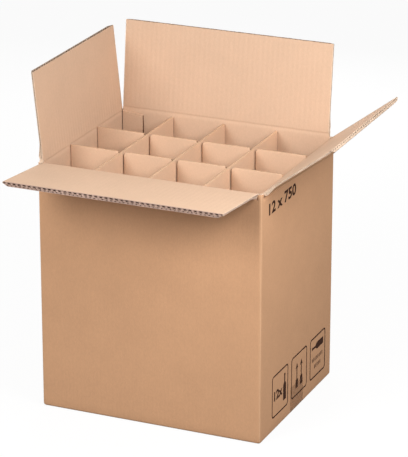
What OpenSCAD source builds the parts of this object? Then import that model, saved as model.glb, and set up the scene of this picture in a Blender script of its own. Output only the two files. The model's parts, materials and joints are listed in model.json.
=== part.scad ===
/* [Carton] */
// Outside width along the front
carton_w = 350; // [300:1:420]
// Outside depth from front to back
carton_d = 282; // [230:1:330]
// Height from the base to the inside creases of the front and back flaps
carton_h = 388; // [330:1:440]
// Outside radius of the folded upright corners
corner_r = 5; // [2:0.5:6]
// Outside radius of the folds along the base
fold_r = 4; // [2:0.5:6]
// Gap between the two outer bottom flaps
seam_gap = 1.5; // [0.5:0.1:4]

/* [Board] */
// Thickness of each of the three liners
liner_t = 0.4; // [0.3:0.05:0.6]
// Height of the coarse flutes, on the inner side
coarse_flute_h = 3.2; // [2.6:0.1:4]
// Spacing of the coarse flutes
coarse_pitch = 7.9; // [7:0.1:9]
// Height of the fine flutes, on the outer side
fine_flute_h = 2.1; // [1.6:0.1:2.8]
// Spacing of the fine flutes
fine_pitch = 6.4; // [5.5:0.1:7]
// Thickness of the fluted paper
medium_t = 0.45; // [0.3:0.05:0.6]

/* [Flaps] */
// How far the front flap is opened outwards from upright
front_open = 85; // [-90:1:102]
// How far the back flap is opened outwards from upright
back_open = 6; // [-90:1:102]
// How far the left flap is opened outwards from upright
left_open = 6; // [-90:1:102]
// How far the right flap is opened outwards from upright
right_open = 53; // [-90:1:102]
// Gap between the front and back flaps where they meet when closed
meeting_gap = 1; // [0.4:0.1:4]
// Clearance between a flap and the corners and flaps beside it
flap_clear = 0.5; // [0.3:0.1:2]
// Clearance between the closed side flaps and the flaps that close over them
layer_clear = 0.3; // [0.2:0.1:2]
// Play in the crease between a wall and its flap
crease_play = 0.4; // [0.3:0.1:0.9]
// Width of the board pressed thin on each side of a crease
crease_w = 8.5; // [8.5:0.5:14]
// How far the turning line moves inwards when a flap is folded right out
crease_give = 3.7; // [0:0.1:4]
// Distance from the pressed board to the open flutes
flute_margin = 5; // [2:1:12]

/* [Glue tab] */
// Width of the tab glued inside the back wall
glue_tab_w = 35; // [25:1:45]
// Thickness of the tab, pressed flat
glue_tab_t = 3.5; // [2:0.5:5]
// How much shorter the tab is at its free edge, at each end
glue_tab_slant = 4; // [2:1:20]

/* [Dividers] */
// Thickness of the divider board
divider_t = 3; // [2:0.1:4]
// Clearance between the ends of a divider and the walls
end_clear = 1; // [0.4:0.1:3]
// Clearance between the divider tops and the closed side flaps
top_clear = 0.3; // [0.2:0.1:3]
// How much wider a slot is than the divider that it takes
slot_clear = 4; // [0.6:0.1:6]
// Height left between the ends of two interlocked slots
slot_end_gap = 0.3; // [0.2:0.1:3]
// Radius of the lead-in at the mouth of a slot
lead_in_r = 6; // [3:0.5:10]

/* [Tape] */
// Width of the tape over the bottom seam
tape_w = 50; // [38:1:75]
// Thickness of the tape
tape_t = 0.3; // [0.1:0.05:0.5]
// How far the tape runs up the side walls
tape_up = 42; // [20:1:80]

/* [Hidden] */
columns = 4;
rows = 3;
arc_steps = 4;
over = 1;

board_t = 3 * liner_t + coarse_flute_h + fine_flute_h;
inner_w = carton_w - 2 * board_t;
inner_d = carton_d - 2 * board_t;
floor_z = 2 * board_t;
// The side flaps fold in first, one board below the front and back flaps
side_crease_z = carton_h - board_t - layer_clear;
flap_len = (inner_d - meeting_gap) / 2;
crease_slope = crease_w / board_t;
// Each crease: turn of its wall, distance from the centre, closed level, opening and wall width
front_crease = [0, inner_d / 2, carton_h, front_open, inner_w];
back_crease = [180, inner_d / 2, carton_h, back_open, inner_w];
left_crease = [-90, inner_w / 2, side_crease_z, left_open, inner_d];
right_crease = [90, inner_w / 2, side_crease_z, right_open, inner_d];

divider_h = side_crease_z - top_clear - floor_z;
slot_w = divider_t + slot_clear;
slot_depth = (divider_h + slot_end_gap) / 2;
column_pitch = (inner_w + divider_t) / columns;
row_pitch = (inner_d + divider_t) / rows;
column_slots = [for (i = [1 : columns - 1]) (i - columns / 2) * column_pitch];
row_slots = [for (j = [1 : rows - 1]) (j - rows / 2) * row_pitch];

outer_kraft = [0.80, 0.62, 0.46];
flap_kraft = [0.86, 0.71, 0.57];
divider_kraft = [0.88, 0.73, 0.59];
tape_brown = [0.63, 0.45, 0.32];

// Points of an arc from angle a to angle b
function arc(centre, r, a, b) = [
    for (k = [0 : arc_steps])
        let (angle = a + (b - a) * k / arc_steps)
            centre + r * [cos(angle), sin(angle)]
];

// Outline of the carton seen from above, with rounded upright corners
function plan_outline(w, d, r) = concat(
    arc([w / 2 - r, d / 2 - r], r, 0, 90),
    arc([r - w / 2, d / 2 - r], r, 90, 180),
    arc([r - w / 2, r - d / 2], r, 180, 270),
    arc([w / 2 - r, r - d / 2], r, 270, 360)
);

// Outline of the carton seen from a side, with the folds along the base rounded
function side_outline(span, base, top, r) = concat(
    [[span / 2, top], [-span / 2, top]],
    arc([r - span / 2, base + r], r, 180, 270),
    arc([span / 2 - r, base + r], r, 270, 360)
);

// Notch points of a slot from the top edge, with a rounded lead-in at each side
function slot_notch(centre, top) = concat(
    arc([centre - slot_w / 2 - lead_in_r, top - lead_in_r], lead_in_r, 90, 0),
    [[centre - slot_w / 2, top - slot_depth], [centre + slot_w / 2, top - slot_depth]],
    arc([centre + slot_w / 2 + lead_in_r, top - lead_in_r], lead_in_r, 180, 90)
);

// Divider outline with its slots in the top edge
function divider_outline(length, slots) = concat(
    [[length / 2, 0], [-length / 2, 0], [-length / 2, divider_h]],
    [for (s = slots) each slot_notch(s, divider_h)],
    [[length / 2, divider_h]]
);

// Stands a drawing in X and Z upright, with its thickness centred on Y
module upright(thickness) {
    rotate([90, 0, 0])
        linear_extrude(thickness, center = true)
            children();
}

// Outer form of the carton body up to the front and back creases
module envelope() {
    intersection() {
        linear_extrude(carton_h)
            polygon(plan_outline(carton_w, carton_d, corner_r));
        upright(carton_d + over)
            polygon(side_outline(carton_w, 0, carton_h, fold_r));
        rotate([0, 0, 90])
            upright(carton_w + over)
                polygon(side_outline(carton_d, 0, carton_h, fold_r));
    }
}

// Distance of a flap's turning line from the inner face of its wall
function turn_inset(opening) = crease_give * (1 - cos(max(0, min(opening, 90))));

// Moves children from the X axis to a crease, with the inside of the carton at +Y
module at_crease(crease) {
    rotate([0, 0, crease[0]])
        translate([0, -crease[1], crease[2]])
            children();
}

// Runs a section drawn in Y and Z along the X axis
module along_crease(width) {
    rotate([90, 0, 90])
        linear_extrude(width, center = true)
            children();
}

// Room above a wall, whose pressed top slopes down from the turning line
module crease_room(crease) {
    inset = turn_inset(crease[3]);
    outer = board_t + over;
    at_crease(crease)
        along_crease(crease[4])
            polygon([
                [0, over], [-outer, over],
                [-outer, -inset - (inset + outer) * crease_slope],
                [0, -inset - inset * crease_slope]
            ]);
}

// Tab that joins the left wall to the inside of the back wall
module glue_tab() {
    top = side_crease_z - top_clear;
    left = -inner_w / 2;
    translate([0, carton_d / 2 - board_t - glue_tab_t / 2, 0])
        upright(glue_tab_t)
            polygon([
                [left, floor_z],
                [left + glue_tab_w, floor_z + glue_tab_slant],
                [left + glue_tab_w, top - glue_tab_slant],
                [left, top]
            ]);
}

// One sheet folded into four walls and a closed bottom of two flap layers
module carton() {
    color(outer_kraft)
        difference() {
            union() {
                difference() {
                    envelope();
                    translate([-inner_w / 2, -inner_d / 2, floor_z])
                        cube([inner_w, inner_d, carton_h]);
                    for (left = [-carton_w / 2 - over, inner_w / 2])
                        translate([left, -carton_d / 2 - over, side_crease_z])
                            cube([board_t + over, carton_d + 2 * over, carton_h]);
                    for (crease = [front_crease, back_crease, left_crease, right_crease])
                        crease_room(crease);
                    translate([flap_len - inner_w / 2, -inner_d / 2, board_t])
                        cube([inner_w - 2 * flap_len, inner_d, floor_z]);
                    translate([-carton_w / 2 - over, -seam_gap / 2, -over])
                        cube([carton_w + 2 * over, seam_gap, board_t + over]);
                }
                glue_tab();
            }
            tape_strip();
        }
}

// Triangular channels between a liner and the fluted paper
module flute_row(width, base, height, pitch) {
    medium_h = medium_t * sqrt(1 + pow(2 * height / pitch, 2));
    channel_h = height - medium_h;
    half_w = pitch / 2 * channel_h / height;
    count = floor(width / pitch - 0.5);
    for (i = [0 : count - 1])
        translate([(i - (count - 1) / 2) * pitch, base])
            polygon([[-half_w, 0], [half_w, 0], [0, channel_h]]);
    for (i = [1 : count - 1])
        translate([(i - count / 2) * pitch, base + height])
            polygon([[-half_w, 0], [0, -channel_h], [half_w, 0]]);
}

// Upright flap with its turning line on the X axis and its inner face at Y = -inset
module flap_board(width, inset) {
    root = inset * crease_slope + crease_play;
    tip = flap_len - inset;
    translate([0, -inset, 0])
        difference() {
            along_crease(width)
                polygon([[0, root], [0, tip], [-board_t, tip], [-board_t, root + crease_w]]);
            translate([0, -board_t, root + crease_w + flute_margin])
                linear_extrude(flap_len) {
                    flute_row(width, liner_t, fine_flute_h, fine_pitch);
                    flute_row(width, 2 * liner_t + fine_flute_h, coarse_flute_h, coarse_pitch);
                }
        }
}

// Flap on its crease, opened outwards
module flap(crease) {
    inset = turn_inset(crease[3]);
    color(flap_kraft)
        at_crease(crease)
            translate([0, inset, -inset])
                rotate([crease[3], 0, 0])
                    flap_board(crease[4] - 2 * flap_clear, inset);
}

module front_flap() {
    flap(front_crease);
}

module back_flap() {
    flap(back_crease);
}

module left_flap() {
    flap(left_crease);
}

module right_flap() {
    flap(right_crease);
}

// Divider from front to back, slotted from below
module cross_divider(x) {
    color(divider_kraft)
        translate([x, 0, floor_z])
            rotate([0, 0, 90])
                upright(divider_t)
                    translate([0, divider_h])
                        mirror([0, 1])
                            polygon(divider_outline(inner_d - 2 * end_clear, row_slots));
}

// Divider from left to right, slotted from above
module long_divider(y) {
    color(divider_kraft)
        translate([0, y, floor_z])
            upright(divider_t)
                polygon(divider_outline(inner_w - 2 * end_clear, column_slots));
}

module cross_divider_left() {
    cross_divider(column_slots[0]);
}

module cross_divider_middle() {
    cross_divider(column_slots[1]);
}

module cross_divider_right() {
    cross_divider(column_slots[2]);
}

module long_divider_front() {
    long_divider(row_slots[0]);
}

module long_divider_back() {
    long_divider(row_slots[1]);
}

// Strip along the bottom seam and up both side walls, flush with the board
module tape_strip() {
    upright(tape_w)
        intersection() {
            difference() {
                polygon(side_outline(carton_w, 0, carton_h, fold_r));
                polygon(side_outline(carton_w - 2 * tape_t, tape_t, carton_h + over, fold_r - tape_t));
            }
            translate([-carton_w / 2, 0])
                square([carton_w, tape_up]);
        }
}

module bottom_tape() {
    color(tape_brown)
        tape_strip();
}

carton();
front_flap();
back_flap();
left_flap();
right_flap();
cross_divider_left();
cross_divider_middle();
cross_divider_right();
long_divider_front();
long_divider_back();
bottom_tape();
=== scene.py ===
import json
import math
from collections import namedtuple

import bmesh
import bpy
import numpy as np
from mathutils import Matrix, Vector


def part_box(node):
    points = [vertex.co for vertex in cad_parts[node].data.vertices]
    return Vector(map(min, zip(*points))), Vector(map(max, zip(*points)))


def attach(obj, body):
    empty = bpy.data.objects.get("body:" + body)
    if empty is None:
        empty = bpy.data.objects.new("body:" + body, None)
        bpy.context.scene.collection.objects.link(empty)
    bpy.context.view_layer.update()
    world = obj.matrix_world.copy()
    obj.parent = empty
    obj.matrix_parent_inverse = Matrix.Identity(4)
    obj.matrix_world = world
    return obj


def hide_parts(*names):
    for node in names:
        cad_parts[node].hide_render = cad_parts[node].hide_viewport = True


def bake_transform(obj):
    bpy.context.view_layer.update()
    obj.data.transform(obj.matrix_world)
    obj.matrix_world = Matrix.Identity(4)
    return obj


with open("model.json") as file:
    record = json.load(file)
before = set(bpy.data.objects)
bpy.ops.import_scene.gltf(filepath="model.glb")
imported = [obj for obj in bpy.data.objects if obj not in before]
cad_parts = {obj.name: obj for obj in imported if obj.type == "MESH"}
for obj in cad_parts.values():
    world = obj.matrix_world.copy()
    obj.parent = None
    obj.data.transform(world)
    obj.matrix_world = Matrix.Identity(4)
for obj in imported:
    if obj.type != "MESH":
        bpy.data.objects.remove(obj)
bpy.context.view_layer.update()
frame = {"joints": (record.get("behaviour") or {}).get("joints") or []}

# Double-wall board: three liners and two fluted papers, in metres
MM = 0.001
BOARD_T = 6.5 * MM
LINER_T = 0.45 * MM
MEDIUM_T = 0.5 * MM
FLUTE_CREST = 1.5
COARSE_H = 3.15 * MM
COARSE_PITCH = 7.9 * MM
FINE_H = BOARD_T - 3 * LINER_T - COARSE_H
FINE_PITCH = 6.4 * MM
INNER_WASHBOARD = 0.28 * MM
OUTER_WASHBOARD = 0.1 * MM

# Creases, and the grooves that are pressed beside them
CREASE_W = 8.5 * MM
CREASE_SLOPE = CREASE_W / BOARD_T
CREASE_PLAY = 0.4 * MM
WALL_SINK = 0.8 * MM
WALL_SPREAD = 4 * MM
FLAP_SINK = 0.4 * MM
FLAP_SPREAD = 6 * MM
FLAP_CLEAR = 0.5 * MM

# Corners, bottom and glue tab of the carton
CORNER_R = 5 * MM
FOLD_R = 4 * MM
BASE_Z = 0.15 * MM
SEAM_GAP = 1.5 * MM
GLUE_TAB_W = 35 * MM
GLUE_TAB_T = 3.5 * MM
GLUE_TAB_GROOVE = 1.5 * MM
GLUE_TAB_SLANT = 4 * MM

# Overall sizes, from the frame
carton_low, carton_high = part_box("carton")
OUTER_W = carton_high.x - carton_low.x
OUTER_D = carton_high.y - carton_low.y
INNER_W = OUTER_W - 2 * BOARD_T
INNER_D = OUTER_D - 2 * BOARD_T
FLOOR_Z = 2 * BOARD_T
FLAP_LEN = INNER_D / 2 - FLAP_CLEAR
UP = np.array([0.0, 0.0, 1.0])

# A direction counts as facing an axis when its share along that axis is above this
FACING = 0.7

# Points along each rounded corner of an outline
ARC_STEPS = 6

# Distance within which points are joined, and how often slivers are cleared after that
MERGE = 0.01 * MM
CLEAN_PASSES = 4


# Spacing, waves and arcs

def spaced(low, high, step):
    """Even values from low to high, about a step apart."""
    return np.linspace(low, high, max(2, round((high - low) / step) + 1))


def smooth_step(value):
    """A value held between 0 and 1 and eased at both ends."""
    share = np.clip(value, 0, 1)
    return share * share * (3 - 2 * share)


def wave_share(s, pitch, sign=1):
    """Wave along the board from 0 to 1, with a crest at 0, or a trough there if sign is -1."""
    return 0.5 + 0.5 * sign * np.cos(2 * math.pi * s / pitch)


def press(height, centre, spread, depth):
    """Depth of a soft groove pressed into the board around a height."""
    return depth * np.exp(-((height - centre) / spread) ** 2)


def arc_points(centre, radius, first, last):
    """Points of an arc between two angles in degrees."""
    angles = np.radians(np.linspace(first, last, ARC_STEPS))
    return [(centre[0] + radius * math.cos(a), centre[1] + radius * math.sin(a)) for a in angles]


def add_object(name, data):
    piece = bpy.data.objects.new(name, data)
    bpy.context.scene.collection.objects.link(piece)
    return piece


class Surface:
    """Points and faces of one piece, gathered sheet by sheet."""

    def __init__(self):
        self.points = []
        self.faces = []
        self.slots = []
        self.smooth = []

    def add_points(self, points):
        start = len(self.points)
        self.points.extend(tuple(p) for p in np.asarray(points).reshape(-1, 3))
        return start

    def add_face(self, corners, slot, smooth):
        self.faces.append([int(c) for c in corners])
        self.slots.append(slot)
        self.smooth.append(smooth)

    def add_quads(self, index, slot, smooth=True):
        """Quads between neighbouring rows and columns of an index grid."""
        for row, after in zip(index[:-1], index[1:]):
            for k in range(len(row) - 1):
                self.add_face((row[k], row[k + 1], after[k + 1], after[k]), slot, smooth)

    def slab(self, front, back, slots):
        """Closed sheet between two grids of the same shape.

        The slots are front, back and either one for all edges or bottom, top, left and right."""
        rows, columns = front.shape[:2]
        grid = np.arange(rows * columns).reshape(rows, columns)
        near = self.add_points(front) + grid
        far = self.add_points(back) + grid
        self.add_quads(near, slots[0])
        self.add_quads(far[:, ::-1], slots[1])
        edges = (np.s_[0, :], np.s_[-1, :], np.s_[:, 0], np.s_[:, -1])
        edge_slots = slots[2:] if len(slots) > 3 else slots[2:] * len(edges)
        for line, edge_slot in zip(edges, edge_slots):
            self.add_quads(np.stack([near[line], far[line]]), edge_slot, smooth=False)

    def build(self, name, materials, merge=0.0):
        """Piece of these faces, with points joined within a merge distance if one is given."""
        mesh = bpy.data.meshes.new(name)
        mesh.from_pydata(self.points, [], self.faces)
        mesh.polygons.foreach_set("material_index", self.slots)
        mesh.polygons.foreach_set("use_smooth", self.smooth)
        for material in materials:
            mesh.materials.append(material)
        cleaned = bmesh.new()
        cleaned.from_mesh(mesh)
        if merge:
            bmesh.ops.remove_doubles(cleaned, verts=cleaned.verts, dist=merge)
            for _ in range(CLEAN_PASSES):
                bmesh.ops.dissolve_degenerate(cleaned, edges=cleaned.edges, dist=merge)
        bmesh.ops.recalc_face_normals(cleaned, faces=cleaned.faces)
        for edge in cleaned.edges:
            edge.smooth = all(face.smooth for face in edge.link_faces)
        cleaned.to_mesh(mesh)
        cleaned.free()
        return add_object(name, mesh)


class Crease:
    """A top crease: its turning line, and the wall and flap that meet there."""

    def __init__(self, joint):
        self.flap = joint["child"]
        self.pivot = np.array(joint["pos_m"])
        self.along = np.array(joint["axis"], float)
        self.out = np.cross(self.along, UP)
        self.opening = math.radians(-90 - joint["range_deg"][0])
        on_side = abs(self.out[0]) > FACING
        self.wall_offset = INNER_W / 2 if on_side else INNER_D / 2
        self.width = INNER_D if on_side else INNER_W
        self.inset = self.wall_offset - self.pivot @ self.out
        self.root = self.inset * CREASE_SLOPE + CREASE_PLAY
        self.tip = FLAP_LEN - self.inset
        self.half_flap = self.width / 2 - FLAP_CLEAR
        self.wall_top_in = self.pivot[2] - self.inset * CREASE_SLOPE
        self.wall_top_out = self.wall_top_in - CREASE_W

    def turned(self, s, out, up, angle):
        """Points at s along the crease, at out and up from the turning line, turned outwards."""
        s, out, up = np.broadcast_arrays(s, out, up)
        across = out * math.cos(angle) + up * math.sin(angle)
        rise = up * math.cos(angle) - out * math.sin(angle)
        return (self.pivot + s[..., None] * self.along
                + across[..., None] * self.out + rise[..., None] * UP)

    def on_flap(self, s, depth, height):
        """Points of the flap at rest: depth counts outwards from its inner face."""
        return self.turned(s, self.inset + depth, height, self.opening)


creases = {joint["child"]: Crease(joint) for joint in frame["joints"]}
POST_TOP = creases["left_flap"].pivot[2] + creases["left_flap"].inset


# Materials: colours as seen, in sRGB

OUTER_KRAFT = (210, 162, 124)
INNER_KRAFT = (211, 178, 151)
DIVIDER_KRAFT = (220, 185, 156)
DIVIDER_EDGE = (200, 164, 133)
# Fluting, darker than its paper alone: partly its own tone, partly painted shade for open flutes, the
# sides of the divider slots and the gaps beside the glue tab
FLUTING_AND_GAP_SHADE = (100, 70, 49)
CUT_EDGE = (222, 196, 172)
# Darker colour for the front flap's free edge: painted shade, as that edge faces down out of the light
SHADED_TIP_EDGE = (178, 150, 136)
# Near-black for the deepest parts of the pits in crushed free edges: painted shade inside the flutes
FLUTE_HOLE_SHADE = (58, 36, 25)
# Paler line down each rounded corner: partly wear along the fold, partly a painted highlight
FOLD_WEAR_AND_HIGHLIGHT = (224, 181, 143)
TAPE_BROWN = (128, 88, 58)
PRINT_BROWN = (50, 26, 13)

# Grains: noise cycles in a metre, its detail, and the part of its range that is used
Grain = namedtuple("Grain", "scale detail low high")
CLOUD = Grain(16, 3, 0.3, 0.7)
FIBRES = Grain(620, 5, 0.28, 0.72)
FLECKS = Grain(1300, 2, 0.66, 0.74)
STREAKS = Grain(160, 3, 0.3, 0.7)
INK_WEAR = Grain(900, 4, 0.45, 0.8)
GRAIN_ROUGHNESS = 0.6
FIBRE_STRETCH = (1, 1, 0.45)
STREAK_STRETCH = (0.08, 1, 0.08)

# Surface finish
PAPER_SPECULAR = 0.25
FIBRE_BUMP = 0.25
FIBRE_HEIGHT = 0.15 * MM
TAPE_ROUGHNESS = 0.45
TAPE_SPECULAR = 0.2
TAPE_COVER = 0.14
DARK_STREAK = 0.93
PALE_STREAK = 1.06
INK_ROUGHNESS = 0.8
INK_SPECULAR = 0.1
WORN_INK_GAIN = 2.2


def linear(colour, gain=1.0):
    """Linear RGBA of an sRGB colour in 0 to 255, made lighter or darker by a gain."""
    def channel(value):
        share = value / 255
        return share / 12.92 if share <= 0.04045 else ((share + 0.055) / 1.055) ** 2.4

    return tuple(min(1.0, gain * channel(value)) for value in colour) + (1.0,)


def grey(level):
    return (level, level, level, 1)


def new_material(name):
    material = bpy.data.materials.new(name)
    material.use_nodes = True
    nodes = material.node_tree.nodes
    return material, nodes, material.node_tree.links, nodes["Principled BSDF"]


def set_gloss(shader, roughness, specular):
    shader.inputs["Roughness"].default_value = roughness
    shader.inputs["Specular IOR Level"].default_value = specular


def grain_node(nodes, links, coords, grain, stretch=(1, 1, 1)):
    """Noise of a grain, spread from the part of its range that is used to the full range."""
    mapping = nodes.new("ShaderNodeMapping")
    mapping.inputs["Scale"].default_value = stretch
    links.new(coords, mapping.inputs["Vector"])
    noise = nodes.new("ShaderNodeTexNoise")
    noise.inputs["Scale"].default_value = grain.scale
    noise.inputs["Detail"].default_value = grain.detail
    noise.inputs["Roughness"].default_value = GRAIN_ROUGHNESS
    links.new(mapping.outputs["Vector"], noise.inputs["Vector"])
    ramp = nodes.new("ShaderNodeMapRange")
    ramp.inputs["From Min"].default_value = grain.low
    ramp.inputs["From Max"].default_value = grain.high
    links.new(noise.outputs["Fac"], ramp.inputs["Value"])
    return ramp.outputs["Result"]


def mix_colour(nodes, links, fac, a, b, blend="MIX"):
    """Mixes two colours, where the share and each colour are a node's output or a constant."""
    mix = nodes.new("ShaderNodeMix")
    mix.data_type = "RGBA"
    mix.blend_type = blend
    for name, value in (("Factor", fac), ("A", a), ("B", b)):
        if isinstance(value, bpy.types.NodeSocket):
            links.new(value, mix.inputs[name])
        else:
            mix.inputs[name].default_value = value
    return mix.outputs["Result"]


def paper(name, colour, mottle=0.03, fibre=0.045, fleck=0.84, roughness=0.88):
    """Paper liner: cloudy tone, fine fibres along the flutes, dark flecks and a soft tooth."""
    material, nodes, links, shader = new_material(name)
    coords = nodes.new("ShaderNodeTexCoord").outputs["Object"]
    cloud = grain_node(nodes, links, coords, CLOUD)
    fibres = grain_node(nodes, links, coords, FIBRES, FIBRE_STRETCH)
    flecks = grain_node(nodes, links, coords, FLECKS)
    tone = mix_colour(nodes, links, cloud, linear(colour, 1 - mottle), linear(colour, 1 + mottle))
    threads = mix_colour(nodes, links, fibres, grey(1 - fibre), grey(1 + fibre))
    fine = mix_colour(nodes, links, 1.0, tone, threads, "MULTIPLY")
    flecked = mix_colour(nodes, links, flecks, fine, linear(colour, fleck))
    links.new(flecked, shader.inputs["Base Color"])
    set_gloss(shader, roughness, PAPER_SPECULAR)
    bump = nodes.new("ShaderNodeBump")
    bump.inputs["Strength"].default_value = FIBRE_BUMP
    bump.inputs["Distance"].default_value = FIBRE_HEIGHT
    links.new(fibres, bump.inputs["Height"])
    links.new(bump.outputs["Normal"], shader.inputs["Normal"])
    return material


def tape_film(name, colour):
    """Brown packing tape: smooth, thin film with a low sheen and faint lengthwise streaks."""
    material, nodes, links, shader = new_material(name)
    coords = nodes.new("ShaderNodeTexCoord").outputs["Object"]
    streaks = grain_node(nodes, links, coords, STREAKS, STREAK_STRETCH)
    tone = mix_colour(nodes, links, streaks, linear(colour, DARK_STREAK), linear(colour, PALE_STREAK))
    links.new(tone, shader.inputs["Base Color"])
    set_gloss(shader, TAPE_ROUGHNESS, TAPE_SPECULAR)
    shader.inputs["Alpha"].default_value = TAPE_COVER
    return material


def ink(name, colour):
    """Flexographic ink with a slightly worn, uneven cover."""
    material, nodes, links, shader = new_material(name)
    coords = nodes.new("ShaderNodeTexCoord").outputs["Object"]
    wear = grain_node(nodes, links, coords, INK_WEAR)
    tone = mix_colour(nodes, links, wear, linear(colour), linear(colour, WORN_INK_GAIN))
    links.new(tone, shader.inputs["Base Color"])
    set_gloss(shader, INK_ROUGHNESS, INK_SPECULAR)
    return material


outer_paper = paper("outer_liner", OUTER_KRAFT)
inner_paper = paper("inner_liner", INNER_KRAFT, mottle=0.025)
divider_paper = paper("divider_liner", DIVIDER_KRAFT, mottle=0.025)
divider_edge = paper("divider_edge", DIVIDER_EDGE, mottle=0.08, fibre=0.1)
edge_paper = paper("cut_edge", CUT_EDGE, mottle=0.12, fibre=0.12, fleck=0.7, roughness=0.95)
shaded_tip_paper = paper("torn_edge", SHADED_TIP_EDGE, mottle=0.15, fibre=0.2, fleck=0.6, roughness=0.95)
flute_medium_and_shade_paper = paper("fluting", FLUTING_AND_GAP_SHADE, mottle=0.1)
hole_shade_paper = paper("flute_hole", FLUTE_HOLE_SHADE)
fold_wear_and_highlight_paper = paper("folded_edge", FOLD_WEAR_AND_HIGHLIGHT)
film = tape_film("tape_film", TAPE_BROWN)
print_ink = ink("print_ink", PRINT_BROWN)

# Material slots of the carton board and of the dividers
BOARD_MATERIALS = (inner_paper, outer_paper, edge_paper, flute_medium_and_shade_paper,
                   fold_wear_and_highlight_paper, shaded_tip_paper, hole_shade_paper)
INNER, OUTER, EDGE, FLUTE_AND_SHADE, WORN_FOLD_HIGHLIGHT, SHADED_TIP, HOLE_SHADE = range(len(BOARD_MATERIALS))
DIVIDER_MATERIALS = (divider_paper, divider_edge, flute_medium_and_shade_paper)
BROAD_FACE, CUT_FACE, SLOT_SIDE = range(len(DIVIDER_MATERIALS))


def dress(piece, body, slot, *nodes):
    """Lets a piece ride on a body, in place of CAD nodes. The slot is not used."""
    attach(piece, body)
    if nodes:
        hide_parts(*nodes)


# Flaps of double-wall board: three liners with two fluted papers between them

NEAR_CREASE_ROWS = np.linspace(0, 0.24, 9)
NEAR_TIP_ROWS = (0.92, 0.96, 0.98, 1)
FLAP_ROWS = np.concatenate([NEAR_CREASE_ROWS, NEAR_TIP_ROWS])
LINER_STEPS = 4
MEDIUM_STEPS = 12
TIP_STEPS = 8
UNEVEN_FLUTES = 0.12
SIDE_CRUSH = 0.6
CRUSH_REACH = 9 * MM
CRUSH_START = CREASE_W / 2
CRUSH_RISE = 3 * CREASE_W
RAGGED = 0.25 * MM
CAP_STEP = 0.4 * MM
CAP_SINK = 0.6 * MM
CAP_PROUD = 0.05 * MM
COARSE_PIT = 1.6 * MM
FINE_PIT = 0.7 * MM

# Free edges: share of the thickness pressed away, share of the pit depth that stays pale (deeper parts
# get the near-black painted shade), finish (darker on the front flap as painted shade)
Tip = namedtuple("Tip", "crush pale slot")
OPEN_TIP = Tip(0, 1, EDGE)
PRESSED_TIPS = {"front_flap": Tip(0.05, 0.3, SHADED_TIP), "right_flap": Tip(0.25, 0.85, EDGE)}


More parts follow.
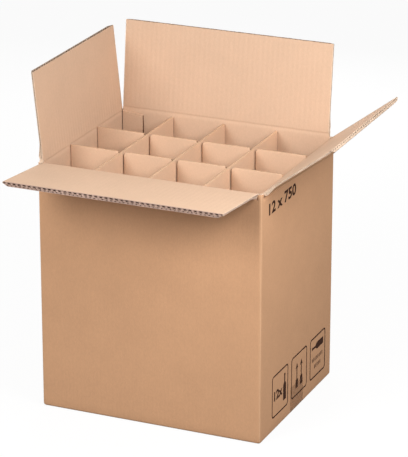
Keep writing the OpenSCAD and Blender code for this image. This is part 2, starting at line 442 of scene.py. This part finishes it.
def flap_piece(crease, seed):
    """Flap with open flutes at its free edge, and side edges crushed by the slotting knife."""
    rng = np.random.default_rng(seed)
    tip = PRESSED_TIPS.get(crease.flap, OPEN_TIP)
    surface = Surface()

    def root_at(depth):
        return crease.root + CREASE_SLOPE * depth

    def crushed(s, depth, height):
        near_side = smooth_step(1 - (crease.half_flap - np.abs(s)) / CRUSH_REACH)
        above_crease = smooth_step((height - crease.root - CRUSH_START) / CRUSH_RISE)
        near_tip = smooth_step(1 - (crease.tip - height) / CRUSH_REACH)
        kept = (1 - SIDE_CRUSH * near_side * above_crease) * (1 - tip.crush * near_tip)
        return crease.on_flap(s, depth * kept, height)

    def liner(depth, pitch, slots, board_side):
        """Liner that dips between the flutes on its board side: 1 outwards, -1 inwards, 0 flat."""
        s = spaced(-crease.half_flap, crease.half_flap, pitch / LINER_STEPS)
        washboard = INNER_WASHBOARD if board_side > 0 else OUTER_WASHBOARD
        wave = washboard * wave_share(s, pitch, board_side)
        ragged = rng.uniform(0, RAGGED, s.size)
        faces = []
        for level in (depth, depth + LINER_T):
            height = root_at(level) + FLAP_ROWS[:, None] * (crease.tip - ragged - root_at(level))
            ripple = board_side * wave * smooth_step((height - root_at(level)) / CREASE_W)
            sunk = press(height, crease.root, FLAP_SPREAD, FLAP_SINK) if board_side > 0 else 0
            faces.append(crushed(s, level + ripple + sunk, height + CREASE_SLOPE * sunk))
        surface.slab(*faces, slots)

    def medium(depth, flute_h, pitch):
        """Fluted paper with slightly uneven, flat-topped waves."""
        s = spaced(-crease.half_flap, crease.half_flap, pitch / MEDIUM_STEPS)
        wave = np.tanh(FLUTE_CREST * np.cos(2 * math.pi * s / pitch)) / math.tanh(FLUTE_CREST)
        flute = np.floor(s / pitch + 0.5).astype(int)
        flute -= flute.min()
        full = 1 - rng.uniform(0, UNEVEN_FLUTES, flute.max() + 1)[flute]
        centre = depth + flute_h / 2 + full * wave * (flute_h - MEDIUM_T) / 2
        half_t = MEDIUM_T / 2 * np.sqrt(1 + np.gradient(centre, s) ** 2)
        root = root_at(depth + flute_h)
        height = root + FLAP_ROWS[:, None] * (crease.tip - RAGGED - root)
        surface.slab(crushed(s, centre - half_t, height), crushed(s, centre + half_t, height),
                     (FLUTE_AND_SHADE, FLUTE_AND_SHADE, tip.slot))

    def side_cap(side):
        """Crushed side edge: proud at the three liners and sunk over the flutes between them."""
        starts = (0, LINER_T + COARSE_H, BOARD_T - LINER_T)
        depth = np.array([start + shift for start in starts
                          for shift in (-CAP_STEP, 0, LINER_T, LINER_T + CAP_STEP)][1:-1])
        recess = np.array([CAP_SINK, CAP_PROUD, CAP_PROUD, CAP_SINK] * len(starts))[1:-1]
        height = root_at(depth) + FLAP_ROWS[:, None] * (crease.tip - RAGGED - root_at(depth))
        rim = crushed(side * (crease.half_flap - recess), depth, height)
        back = crushed(side * (crease.half_flap - 2 * CAP_SINK), depth, height)
        surface.slab(rim, back, (EDGE, FLUTE_AND_SHADE, EDGE))

    def tip_cap():
        """Crushed free edge: the flutes are pressed to shallow pits between the three liners."""
        s = spaced(-crease.half_flap + CAP_SINK, crease.half_flap - CAP_SINK, COARSE_PITCH / TIP_STEPS)
        flat = np.zeros(s.size)
        depth = [0]
        pits = [flat]
        for start, flute_h, pitch, pit in ((LINER_T, COARSE_H, COARSE_PITCH, COARSE_PIT),
                                           (2 * LINER_T + COARSE_H, FINE_H, FINE_PITCH, FINE_PIT)):
            hollow = pit * wave_share(s, pitch)
            depth += [start, start + CAP_STEP, start + flute_h - CAP_STEP, start + flute_h]
            pits += [flat, hollow, hollow, flat]
        depth = np.array(depth + [BOARD_T])[:, None]
        pits = np.array(pits + [flat])
        height = crease.tip - RAGGED - CAP_PROUD - pits
        first = len(surface.faces)
        surface.slab(crushed(s, depth, height), crushed(s, depth, height - COARSE_PIT),
                     (tip.slot, FLUTE_AND_SHADE, tip.slot))
        # The deepest parts of the pits take the near-black colour: painted shade inside the flutes
        middle = (pits[:-1, :-1] + pits[1:, 1:]) / 2
        for deep in np.flatnonzero(middle > tip.pale * COARSE_PIT):
            surface.slots[first + deep] = HOLE_SHADE

    side_cap(-1)
    side_cap(1)
    if tip.crush:
        tip_cap()
    liner(0, COARSE_PITCH, (INNER, FLUTE_AND_SHADE, tip.slot), 1)
    medium(LINER_T, COARSE_H, COARSE_PITCH)
    liner(LINER_T + COARSE_H, COARSE_PITCH, (FLUTE_AND_SHADE, FLUTE_AND_SHADE, tip.slot), 0)
    medium(2 * LINER_T + COARSE_H, FINE_H, FINE_PITCH)
    liner(BOARD_T - LINER_T, FINE_PITCH, (FLUTE_AND_SHADE, OUTER, tip.slot), -1)
    piece = surface.build(crease.flap + "_board", BOARD_MATERIALS)
    dress(piece, crease.flap, "flap_board", crease.flap)


# Crushed board in each crease, which bends between the wall and the flap

CREASE_STEPS = 17
CREASE_SAMPLES = 721
CREASE_STRIP = 20 * MM


def crease_section(crease):
    """Outer and inner curve of the crushed board at rest, as out and up from the turning line.

    Each point of the outer curve is a point of the closed carton's round edge, turned part of the way
    open."""
    reach = crease.inset + BOARD_T
    wall_lean = math.atan(CREASE_SLOPE)
    flap_lean = math.atan(CREASE_SLOPE + CREASE_PLAY / reach)
    sweep = math.pi / 2 + crease.opening
    closed = np.linspace(-wall_lean, math.pi / 2 + flap_lean, CREASE_SAMPLES)
    beyond = np.clip(closed - math.pi / 2, 0, None) + np.clip(closed, None, 0)
    radius = reach / np.cos(beyond)
    start = reach * np.array([1, -CREASE_SLOPE])
    flap_edge = np.array([reach, reach * CREASE_SLOPE + CREASE_PLAY])
    turn = np.array([[math.cos(crease.opening), math.sin(crease.opening)],
                     [-math.sin(crease.opening), math.cos(crease.opening)]])
    end = turn @ flap_edge
    line = end - start
    shares = np.linspace(0, 1, CREASE_STEPS)
    outer = []
    for share in shares:
        angle = closed - smooth_step(share) * sweep
        spot = radius[:, None] * np.stack([np.cos(angle), np.sin(angle)], 1)
        along = (spot - start) @ line / (line @ line)
        outer.append(spot[np.argmin(np.abs(along - share))])
    wall_in = (crease.inset + WALL_SINK) * np.array([1, -CREASE_SLOPE])
    flap_in = turn @ np.array([crease.inset + FLAP_SINK, crease.root + CREASE_SLOPE * FLAP_SINK])
    inner = wall_in + shares[:, None] * (flap_in - wall_in)
    return np.array(outer), inner, start, end


def crease_piece(crease):
    outer, inner, start, end = crease_section(crease)
    s = spaced(-crease.half_flap, crease.half_flap, CREASE_STRIP)
    surface = Surface()
    grids = [crease.turned(s[None, :], curve[:, :1], curve[:, 1:], 0) for curve in (outer, inner)]
    surface.slab(grids[0], grids[1], (OUTER, INNER, EDGE))
    piece = surface.build(crease.flap + "_crease", BOARD_MATERIALS)
    ends = [crease.turned(np.zeros(1), np.array([p[0]]), np.array([p[1]]), 0)[0] for p in (start, end)]
    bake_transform(piece)


# Carton: four walls round one closed section, with the bottom flaps and the glue tab

WALL_ORDER = ("front_flap", "right_flap", "back_flap", "left_flap")
OUTER_ROWS = np.array([0.03, 0.12, 0.25, 0.4, 0.55, 0.7, 0.82, 0.9, 0.95, 0.98, 1])
TOP_SHARES = np.array([0.3, 0.5, 0.7])
INNER_DROPS = np.array([0, 1, 2, 3.5, 5, 7, 9, 12, 15, 30, 80, 160, 260]) * MM
FOLD_ANGLES = np.linspace(-math.pi / 2, 0, 5)
CORNER_STEPS = 9
PITTED_STEPS = (1, 2, 5, 6)
FLUTE_PIT = 5 * MM


def wall_column(outer, inner, normal, top_out, top_in, pressed=0.0, pit=0.0):
    """One upright section of the wall, as points from the base, over the top and down inside."""
    points = [np.append(inner, BASE_Z)]
    for angle in FOLD_ANGLES:
        pulled = outer - normal * FOLD_R * (1 - math.cos(angle))
        points.append(np.append(pulled, BASE_Z + FOLD_R * (1 + math.sin(angle))))
    lift = BASE_Z + FOLD_R
    points += [np.append(outer, lift + share * (top_out - lift)) for share in OUTER_ROWS]
    for share in TOP_SHARES:
        level = top_out + share * (top_in - top_out) - pit
        points.append(np.append(outer + share * (inner - outer), level))
    for drop in INNER_DROPS:
        sunk = press(drop, 0, WALL_SPREAD, pressed)
        points.append(np.append(inner + normal * sunk, top_in - drop - CREASE_SLOPE * sunk))
    return points


def wall_columns(crease):
    """Columns of one wall and of the rounded corner at its end."""
    along, out = crease.along[:2], crease.out[:2]
    half = crease.width / 2
    offset = crease.wall_offset
    flat = half + BOARD_T - CORNER_R
    columns = []

    def column(s, top_out, top_in, pressed=0.0):
        ripple = OUTER_WASHBOARD * wave_share(s, FINE_PITCH, -1)
        outer = along * s + out * (offset + BOARD_T - ripple)
        inner = along * max(-half, min(half, s)) + out * offset
        columns.append(wall_column(outer, inner, out, top_out, top_in, pressed))

    column(-flat, POST_TOP, POST_TOP)
    column(-half, POST_TOP, POST_TOP)
    for s in spaced(-half, half, FINE_PITCH / LINER_STEPS):
        column(s, crease.wall_top_out, crease.wall_top_in, WALL_SINK)
    column(half, POST_TOP, POST_TOP)
    column(flat, POST_TOP, POST_TOP)
    centre = along * flat + out * (offset + BOARD_T - CORNER_R)
    corner = along * half + out * offset
    for k, angle in enumerate(np.linspace(0, math.pi / 2, CORNER_STEPS + 1)[1:-1]):
        normal = out * math.cos(angle) + along * math.sin(angle)
        pit = FLUTE_PIT if k in PITTED_STEPS else 0
        rim = centre + normal * CORNER_R
        columns.append(wall_column(rim, corner, normal, POST_TOP, POST_TOP, pit=pit))
    return columns


def wall_ring(surface):
    """Four walls and their rounded corners, as one closed ring of columns."""
    columns = []
    outer_slots = []
    # The middle step of each corner takes the paler fold colour: partly wear along the fold, partly a
    # painted highlight
    corner_slots = [WORN_FOLD_HIGHLIGHT if k == CORNER_STEPS // 2 else OUTER for k in range(CORNER_STEPS)]
    for name in WALL_ORDER:
        wall = wall_columns(creases[name])
        outer_slots += [OUTER] * (len(wall) - CORNER_STEPS) + corner_slots
        columns += wall
    grid = np.array(columns)
    index = surface.add_points(grid) + np.arange(grid.shape[0] * grid.shape[1]).reshape(grid.shape[:2])
    index = np.vstack([index, index[:1]])
    index = np.hstack([index, index[:, :1]])
    top = 1 + len(FOLD_ANGLES) + len(OUTER_ROWS)
    inside = top + len(TOP_SHARES)
    for k, face_slot in enumerate(outer_slots):
        strip = index[k:k + 2]
        surface.add_quads(strip[:, :top], face_slot)
        surface.add_quads(strip[:, top - 1:inside + 1], EDGE, smooth=False)
        surface.add_quads(strip[:, inside:], INNER)


def plate(surface, low, high):
    """Flat board between two corners."""
    grids = [np.array([[(x, y, z) for x in (low[0], high[0])] for y in (low[1], high[1])])
             for z in (low[2], high[2])]
    surface.slab(grids[0], grids[1], (OUTER, INNER, EDGE))


def bottom_flaps(surface):
    """Front and back flaps that meet in the taped seam, and the side flaps that lie on them."""
    x, y = INNER_W / 2, INNER_D / 2
    for side in (-1, 1):
        ends = sorted((side * y, side * SEAM_GAP / 2))
        plate(surface, (-x, ends[0], 2 * BASE_Z), (x, ends[1], BOARD_T))
        ends = sorted((side * x, side * (x - FLAP_LEN)))
        plate(surface, (ends[0], -y, BOARD_T), (ends[1], y, FLOOR_Z))


def glue_tab(surface):
    """Tab of the left wall that is glued inside the back wall, with slanted ends."""
    x, y = INNER_W / 2, INNER_D / 2
    tab_x = (GLUE_TAB_GROOVE - x, GLUE_TAB_W - x)
    heights = np.array([[FLOOR_Z, FLOOR_Z + GLUE_TAB_SLANT], [POST_TOP, POST_TOP - GLUE_TAB_SLANT]])
    faces = [np.array([[(tab_x[k], depth, heights[row, k]) for k in (0, 1)] for row in (0, 1)])
             for depth in (y - GLUE_TAB_T, y)]
    # Its end edges, at the corner groove and at its free side, take the fluting colour as painted
    # shade in the gaps there
    surface.slab(faces[0], faces[1], (INNER, OUTER, INNER, INNER, FLUTE_AND_SHADE, FLUTE_AND_SHADE))


def carton_piece():
    surface = Surface()
    wall_ring(surface)
    bottom_flaps(surface)
    glue_tab(surface)
    piece = surface.build("carton_board", BOARD_MATERIALS, merge=MERGE)
    dress(piece, "carton", "carton_board", "carton")


# Dividers: slotted boards that stand crosswise in each other

SLOT_CLEAR = 4 * MM
LEAD_IN_R = 6 * MM
WORN_R = 0.5 * MM
WORN_STEPS = 2


def divider_outline(half, top, slots, slot_w, depth):
    """Outline of a divider from its lower edge at 0, with slots in its top edge."""
    outline = [(half, 0), (-half, 0), (-half, top)]
    for s in slots:
        left, right = s - slot_w / 2, s + slot_w / 2
        outline += arc_points((left - LEAD_IN_R, top - LEAD_IN_R), LEAD_IN_R, 90, 0)
        outline += [(left, top - depth), (right, top - depth)]
        outline += arc_points((right + LEAD_IN_R, top - LEAD_IN_R), LEAD_IN_R, 180, 90)
    return outline + [(half, top)]


def upright_board(places, thick, thin_axis):
    """Board that grows from an upright outline across its thickness."""
    board = bmesh.new()
    face = board.faces.new([board.verts.new(place) for place in places])
    grown = bmesh.ops.extrude_face_region(board, geom=[face])
    shift = Vector((0, 0, 0))
    shift[thin_axis] = thick
    moved = [part for part in grown["geom"] if isinstance(part, bmesh.types.BMVert)]
    bmesh.ops.translate(board, vec=shift, verts=moved)
    bmesh.ops.recalc_face_normals(board, faces=board.faces)
    return board


def paint_divider(board, long_axis, slot_reach):
    """Paper on the broad faces, shade on the sides of the slots, and cut board on other edges."""
    for face in board.faces:
        along = abs(face.calc_center_median()[long_axis])
        if abs(face.normal[1 - long_axis]) > FACING:
            face.material_index = BROAD_FACE
        elif abs(face.normal[long_axis]) > FACING and along < slot_reach:
            face.material_index = SLOT_SIDE
        else:
            face.material_index = CUT_FACE


def divider_piece(node, others):
    """Divider with a slot for each other one: from below if it runs front to back."""
    low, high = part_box(node)
    size = high - low
    long_axis = 0 if size.x > size.y else 1
    thin_axis = 1 - long_axis
    thick = size[thin_axis]
    slots = sorted((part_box(n)[0][long_axis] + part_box(n)[1][long_axis]) / 2 for n in others)
    places = []
    for s, z in divider_outline(size[long_axis] / 2, size.z, slots, thick + SLOT_CLEAR, size.z / 2):
        place = Vector((0, 0, high.z - z if long_axis == 1 else low.z + z))
        place[long_axis] = s
        place[thin_axis] = low[thin_axis]
        places.append(place)
    board = upright_board(places, thick, thin_axis)
    paint_divider(board, long_axis, size[long_axis] / 2 - thick)
    mesh = bpy.data.meshes.new(node + "_board")
    board.to_mesh(mesh)
    board.free()
    for material in DIVIDER_MATERIALS:
        mesh.materials.append(material)
    piece = add_object(node + "_board", mesh)
    soften = piece.modifiers.new("worn_edges", "BEVEL")
    soften.width = WORN_R
    soften.segments = WORN_STEPS
    soften.limit_method = "ANGLE"
    dress(piece, "carton", "divider_board", node)


# Tape over the bottom seam, with torn ends on both side walls

TAPE_W = 50 * MM
TAPE_UP = 42 * MM
TAPE_T = 0.1 * MM
TAPE_LIFT = 0.12 * MM
TAPE_ROWS = 6
TAPE_TEETH = 16
TOOTH_H = 0.8 * MM


def tape_piece():
    half = OUTER_W / 2
    path = [(half + TAPE_LIFT, z) for z in np.linspace(TAPE_UP, BASE_Z + FOLD_R, TAPE_ROWS)]
    centre = (half - FOLD_R, BASE_Z + FOLD_R)
    path += arc_points(centre, FOLD_R + TAPE_LIFT, 0, -90)[1:]
    right = np.array(path)
    left = right[::-1] * (-1, 1)
    line = np.vstack([right, left])
    y = np.linspace(-TAPE_W / 2, TAPE_W / 2, 2 * TAPE_TEETH + 1)
    outer = np.zeros((len(line), len(y), 3))
    outer[..., 0] = line[:, :1]
    outer[..., 1] = y
    outer[..., 2] = line[:, 1:]
    teeth = np.where(np.arange(len(y)) % 2, TOOTH_H, -TOOTH_H)
    outer[0, :, 2] += teeth
    outer[-1, :, 2] += teeth
    inner = outer.copy()
    inner[..., 0] -= np.sign(outer[..., 0]) * TAPE_T * (np.abs(outer[..., 0]) > half - FOLD_R)
    inner[..., 2] += TAPE_T * (outer[..., 2] < FOLD_R)
    surface = Surface()
    surface.slab(outer, inner, (0, 0, 0))
    piece = surface.build("bottom_tape_film", (film,))
    dress(piece, "carton", "tape", "bottom_tape")


# Print on the right wall: plain numbers, and signs in rounded frames

PRINT_LIFT = 0.05 * MM
FRAME_COUNT = 3
FRAME_W = 62.5 * MM
FRAME_H = 66.5 * MM
FRAME_LINE = 2.5 * MM
FRAME_R = 6 * MM
FRAME_Y = -97 * MM
FRAME_Z = 21 * MM
FRAME_PITCH = 75 * MM

# Numbers, stretched along the wall: the upper line is placed on the wall, the count in its frame
NUMBER_TEXT = "12 x 750"
NUMBER_PLACE = (-120 * MM, 343 * MM)
NUMBER_SIZE = 23.5 * MM
NUMBER_STRETCH = 1.29
COUNT_TEXT = "12x"
COUNT_PLACE = (4.5 * MM, 26 * MM)
COUNT_SIZE = 20 * MM
COUNT_STRETCH = 1.15
NUMBER_BOLD = 0.8 * MM
NUMBER_STEPS = 3

# Signs, placed in their frames
BOTTLE_W = 11 * MM
BOTTLE_H = 42 * MM
BOTTLE_PLACE = (49 * MM, 13 * MM)
LYING_H = 46 * MM
LYING_PLACE = (54 * MM, 49 * MM)
ARROW_H = 40.5 * MM
ARROW_FOOT_W = 9 * MM
ARROW_FOOT_H = 14 * MM
ARROW_STEM_W = 3 * MM
ARROW_HEAD_W = 9 * MM
ARROW_HEAD_H = 9 * MM
ARROW_RISE = 12 * MM
ARROW_SHARES = (0.36, 0.64)
BLOCK_W = 2.5 * MM
BLOCK_H = 6 * MM
BLOCK_PITCH = 5.6 * MM
BlockRow = namedtuple("BlockRow", "left rise count")
BLOCK_ROWS = (BlockRow(9 * MM, 27 * MM, 8), BlockRow(18 * MM, 15 * MM, 5))

# Bottle from body to lip, as shares of its half width and its height
NECK = 1 / 3
LIP = 1.3 * NECK
BOTTLE_PROFILE = ((1, 0), (1, 0.52), (0.8, 0.61), (NECK, 0.7), (NECK, 0.92), (LIP, 0.92), (LIP, 1))


def in_frame(number, y, z):
    """Spot on the wall of a place in one of the frames."""
    return (FRAME_Y + number * FRAME_PITCH + y, FRAME_Z + z)


def wall_point(spot):
    return (OUTER_W / 2 + PRINT_LIFT, spot[0], spot[1])


def rounded_frame(low, high, radius):
    left, right = low[0] + radius, high[0] - radius
    bottom, top = low[1] + radius, high[1] - radius
    centres = ((right, top), (left, top), (left, bottom), (right, bottom))
    return [point for k, centre in enumerate(centres)
            for point in arc_points(centre, radius, 90 * k, 90 * k + 90)]


def mirrored(side, foot):
    """Closed outline from the right half of a symmetrical shape that stands on a foot."""
    left = [(-x, z) for x, z in reversed(side) if x > 0]
    return [(foot[0] + x, foot[1] + z) for x, z in side + left]


def bottle_side(height):
    """Right half of a bottle: body, shoulder, neck and lip."""
    return [(wide * BOTTLE_W / 2, high * height) for wide, high in BOTTLE_PROFILE]


def arrow_side():
    """Right half of an upward arrow on a broad foot."""
    foot, stem, head = ARROW_FOOT_W / 2, ARROW_STEM_W / 2, ARROW_HEAD_W / 2
    neck = ARROW_H - ARROW_HEAD_H
    return [(foot, 0), (foot, ARROW_FOOT_H), (stem, ARROW_FOOT_H), (stem, neck),
            (head, neck), (0, ARROW_H)]


def row_of_blocks(low, count):
    """Outlines of a row of small upright blocks."""
    starts = [low[0] + k * BLOCK_PITCH for k in range(count)]
    bottom, top = low[1], low[1] + BLOCK_H
    return [[(y, bottom), (y + BLOCK_W, bottom), (y + BLOCK_W, top), (y, top)] for y in starts]


def printed(name, outlines, rings=()):
    """Flat ink shapes on the right wall: filled outlines, and pairs of outlines as rings."""
    surface = Surface()
    for outline in outlines:
        start = surface.add_points([wall_point(p) for p in outline])
        surface.add_face(range(start, start + len(outline)), 0, False)
    for outer, inner in rings:
        count = len(outer)
        first = surface.add_points([wall_point(p) for p in outer])
        second = surface.add_points([wall_point(p) for p in inner])
        for k in range(count):
            after = (k + 1) % count
            surface.add_face((first + k, first + after, second + after, second + k), 0, False)
    piece = surface.build(name, (print_ink,))
    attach(piece, "carton")


def number_piece(name, text, place, size, stretch):
    """Plain bold numerals as flat ink on the right wall."""
    curve = bpy.data.curves.new(name, "FONT")
    curve.body = text
    curve.size = size
    curve.offset = NUMBER_BOLD
    curve.resolution_u = NUMBER_STEPS
    source = add_object(name + "_source", curve)
    mesh = bpy.data.meshes.new_from_object(source.evaluated_get(bpy.context.evaluated_depsgraph_get()))
    bpy.data.objects.remove(source)
    for vertex in mesh.vertices:
        vertex.co = wall_point((place[0] + stretch * vertex.co.x, place[1] + vertex.co.y))
    mesh.materials.clear()
    mesh.materials.append(print_ink)
    piece = add_object(name, mesh)
    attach(piece, "carton")


def frame_rings():
    """Outer and inner outline of each frame."""
    rings = []
    for number in range(FRAME_COUNT):
        low, high = in_frame(number, 0, 0), in_frame(number, FRAME_W, FRAME_H)
        inner_low = in_frame(number, FRAME_LINE, FRAME_LINE)
        inner_high = in_frame(number, FRAME_W - FRAME_LINE, FRAME_H - FRAME_LINE)
        rings.append((rounded_frame(low, high, FRAME_R),
                      rounded_frame(inner_low, inner_high, FRAME_R - FRAME_LINE)))
    return rings


def print_pieces():
    counted, upright, fragile = range(FRAME_COUNT)
    printed("print_frames", [], frame_rings())

    printed("print_bottle", [mirrored(bottle_side(BOTTLE_H), in_frame(counted, *BOTTLE_PLACE))])
    count_spot = in_frame(counted, *COUNT_PLACE)
    number_piece("print_count", COUNT_TEXT, count_spot, COUNT_SIZE, COUNT_STRETCH)

    feet = [in_frame(upright, share * FRAME_W, ARROW_RISE) for share in ARROW_SHARES]
    printed("print_arrows", [mirrored(arrow_side(), foot) for foot in feet])

    base = in_frame(fragile, *LYING_PLACE)
    lying = [(base[0] - z, base[1] + y) for y, z in mirrored(bottle_side(LYING_H), (0, 0))]
    blocks = [block for row in BLOCK_ROWS
              for block in row_of_blocks(in_frame(fragile, row.left, row.rise), row.count)]
    printed("print_glass", [lying] + blocks)
    number_piece("print_numbers", NUMBER_TEXT, NUMBER_PLACE, NUMBER_SIZE, NUMBER_STRETCH)


# Build the object

cross_dividers = ["cross_divider_left", "cross_divider_middle", "cross_divider_right"]
long_dividers = ["long_divider_front", "long_divider_back"]
carton_piece()
for seed, crease in enumerate(creases.values()):
    flap_piece(crease, seed)
    crease_piece(crease)
for node in cross_dividers:
    divider_piece(node, long_dividers)
for node in long_dividers:
    divider_piece(node, cross_dividers)
tape_piece()
print_pieces()


# Stage: a pale floor that keeps the shadow, a white surround, soft lights and the camera

FLOOR_REACH = 6.0
FLOOR_GREY = grey(0.25)
FLOOR_WHITE = grey(0.93)
WHITE = grey(1)
GLOW_SHARE = 0.93
WORLD_LIGHT = 0.34

# Camera at the photograph's angle, and the image that it frames
IMAGE_W = 408
FOCAL_PX = 2669.85
SENSOR_MM = 36.0
CAMERA_AZIMUTH = 23.57
CAMERA_ELEVATION = 20.35
CAMERA_DISTANCE = 3.92964
CAMERA_TARGET = (0.02541, 0.0, 0.26235)
CAMERA_REACH = 50


def seen_share(nodes, links, share):
    """A share for rays that come from the camera, from gloss or through glass, and 0 for the rest."""
    path = nodes.new("ShaderNodeLightPath")
    total = path.outputs["Is Camera Ray"]
    for name in ("Is Glossy Ray", "Is Transmission Ray"):
        add = nodes.new("ShaderNodeMath")
        add.use_clamp = True
        links.new(total, add.inputs[0])
        links.new(path.outputs[name], add.inputs[1])
        total = add.outputs["Value"]
    scale = nodes.new("ShaderNodeMath")
    scale.operation = "MULTIPLY"
    scale.inputs[1].default_value = share
    links.new(total, scale.inputs[0])
    return scale.outputs["Value"]


def floor_material():
    """Grey floor for the light that it throws back, which looks white and keeps the shadow."""
    material, nodes, links, shader = new_material("pale_floor")
    tone = mix_colour(nodes, links, seen_share(nodes, links, 1), FLOOR_GREY, FLOOR_WHITE)
    links.new(tone, shader.inputs["Base Color"])
    set_gloss(shader, 1.0, 0.0)
    glow = nodes.new("ShaderNodeEmission")
    glow.inputs["Color"].default_value = WHITE
    mix = nodes.new("ShaderNodeMixShader")
    links.new(seen_share(nodes, links, GLOW_SHARE), mix.inputs["Fac"])
    links.new(shader.outputs["BSDF"], mix.inputs[1])
    links.new(glow.outputs["Emission"], mix.inputs[2])
    links.new(mix.outputs["Shader"], nodes["Material Output"].inputs["Surface"])
    return material


def floor_piece():
    corners = [(x * FLOOR_REACH, y * FLOOR_REACH, 0) for x, y in ((-1, -1), (1, -1), (1, 1), (-1, 1))]
    mesh = bpy.data.meshes.new("floor")
    mesh.from_pydata(corners, [], [(0, 1, 2, 3)])
    mesh.materials.append(floor_material())
    floor = add_object("floor", mesh)


def surround():
    world = bpy.data.worlds.new("surround")
    world.use_nodes = True
    bpy.context.scene.world = world
    nodes, links = world.node_tree.nodes, world.node_tree.links
    nodes["Background"].inputs["Color"].default_value = WHITE
    level = nodes.new("ShaderNodeMapRange")
    level.inputs["To Min"].default_value = WORLD_LIGHT
    level.inputs["To Max"].default_value = 1.0
    links.new(seen_share(nodes, links, 1), level.inputs["Value"])
    links.new(level.outputs["Result"], nodes["Background"].inputs["Strength"])


def lamp(name, place, aim, size, power):
    light = bpy.data.lights.new(name, "AREA")
    light.shape = "DISK"
    light.size = size
    light.energy = power
    piece = add_object(name, light)
    piece.location = place
    piece.rotation_euler = (Vector(aim) - Vector(place)).to_track_quat("-Z", "Y").to_euler()


def camera():
    data = bpy.data.cameras.new("camera")
    data.sensor_fit = "HORIZONTAL"
    data.sensor_width = SENSOR_MM
    data.lens = SENSOR_MM * FOCAL_PX / IMAGE_W
    data.clip_end = CAMERA_REACH
    piece = add_object("camera", data)
    turn, rise = math.radians(CAMERA_AZIMUTH), math.radians(CAMERA_ELEVATION)
    away = Vector((math.sin(turn) * math.cos(rise), -math.cos(turn) * math.cos(rise), math.sin(rise)))
    piece.location = Vector(CAMERA_TARGET) + CAMERA_DISTANCE * away
    piece.rotation_euler = (-away).to_track_quat("-Z", "Y").to_euler()
    bpy.context.scene.camera = piece


floor_piece()
surround()
lamp("key_light", place=(-0.4, -1.4, 1.1), aim=(0, 0, 0.25), size=0.75, power=16.2)
lamp("right_light", place=(0.8, -0.42, 0.95), aim=(0, 0, 0.3), size=0.5, power=9.2)
lamp("back_light", place=(-0.45, 1.5, 0.8), aim=(0, 0, 0.25), size=1.0, power=9)
lamp("top_light", place=(0.0, 0.1, 2.2), aim=(0, 0, 0.3), size=1.4, power=2.0)
camera()
bpy.context.scene.view_settings.view_transform = "Standard"
